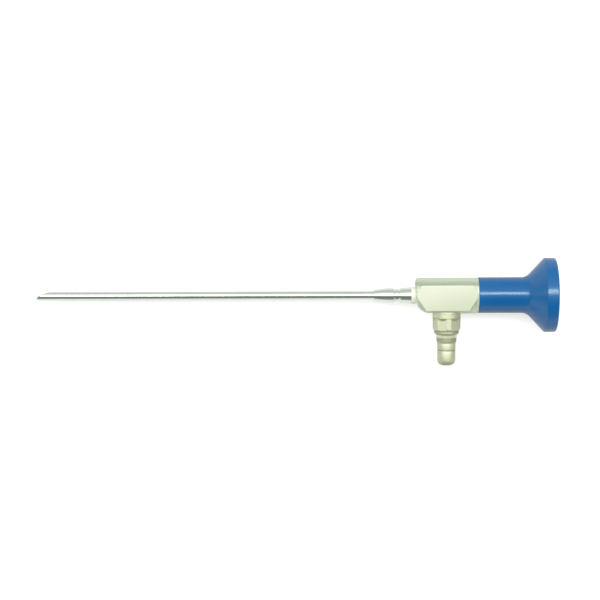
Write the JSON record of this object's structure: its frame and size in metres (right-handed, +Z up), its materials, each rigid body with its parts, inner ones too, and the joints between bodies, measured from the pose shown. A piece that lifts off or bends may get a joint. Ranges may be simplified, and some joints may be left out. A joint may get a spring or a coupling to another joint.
{
  "type": "rigid endoscope",
  "caption": "Rigid rod-lens endoscope with a slim bevelled shaft, lock cone, flat-sided body, stepped light post and a blue eyecup, lying on its side.",
  "frame": {"origin": "centre of the footprint box on the table that the instrument lies on", "axes": "+X runs along the shaft from the bevelled tip to the eyecup, seen from above; the light post points to -Y and dips to the table; +Z is up. The optical axis rises towards the eyecup by 3.7 degrees, because it lies on the tip, the eyecup and the end of the light post"},
  "size_m": [0.2238, 0.0452, 0.0322],
  "materials": {
    "polished_steel": "mirror-polished stainless steel",
    "satin_steel": "bead-blasted satin stainless steel",
    "ring_steel": "fine-turned stainless steel",
    "inner_steel": "drawn stainless steel",
    "black_aluminium": "matt black anodised",
    "optical_glass": "polished optical glass",
    "window_glass": "polished sapphire",
    "glass_fibres": "glass fibres in resin, ends polished flat",
    "seal_rubber": "black rubber",
    "blue_shell": "smooth satin-gloss blue high-temperature plastic"
  },
  "bodies": {
    "root": {"body_housing": "satin_steel", "cone_ring": "satin_steel", "deflecting_prism": "optical_glass", "eye_ring": "ring_steel", "eye_window": "window_glass", "eyepiece_lens": "optical_glass", "eyepiece_seal": "seal_rubber", "eyepiece_shell": "blue_shell", "fibre_bundle": "glass_fibres", "fibre_ferrule": "inner_steel", "field_stop": "black_aluminium", "lens_ring": "black_aluminium", "lock_cone": "polished_steel", "middle_adapter": "satin_steel", "negative_lens": "optical_glass", "objective_lens": "optical_glass", "objective_spacer": "inner_steel", "ocular_cell": "black_aluminium", "ocular_spacer": "black_aluminium", "optics_tube": "inner_steel", "outer_tube": "polished_steel", "post_seal": "seal_rubber", "post_socket": "satin_steel", "post_window": "window_glass", "rod_lens_1": "optical_glass", "rod_lens_2": "optical_glass", "rod_lens_3": "optical_glass", "rod_lens_4": "optical_glass", "rod_lens_5": "optical_glass", "rod_lens_6": "optical_glass", "rod_spacer_1": "inner_steel", "rod_spacer_2": "inner_steel", "rod_spacer_3": "inner_steel", "rod_spacer_4": "inner_steel", "rod_spacer_5": "inner_steel", "rod_spacer_6": "inner_steel", "tip_adapter": "satin_steel", "tip_window": "window_glass", "tube_bush": "inner_steel"}
  },
  "joints": []
}
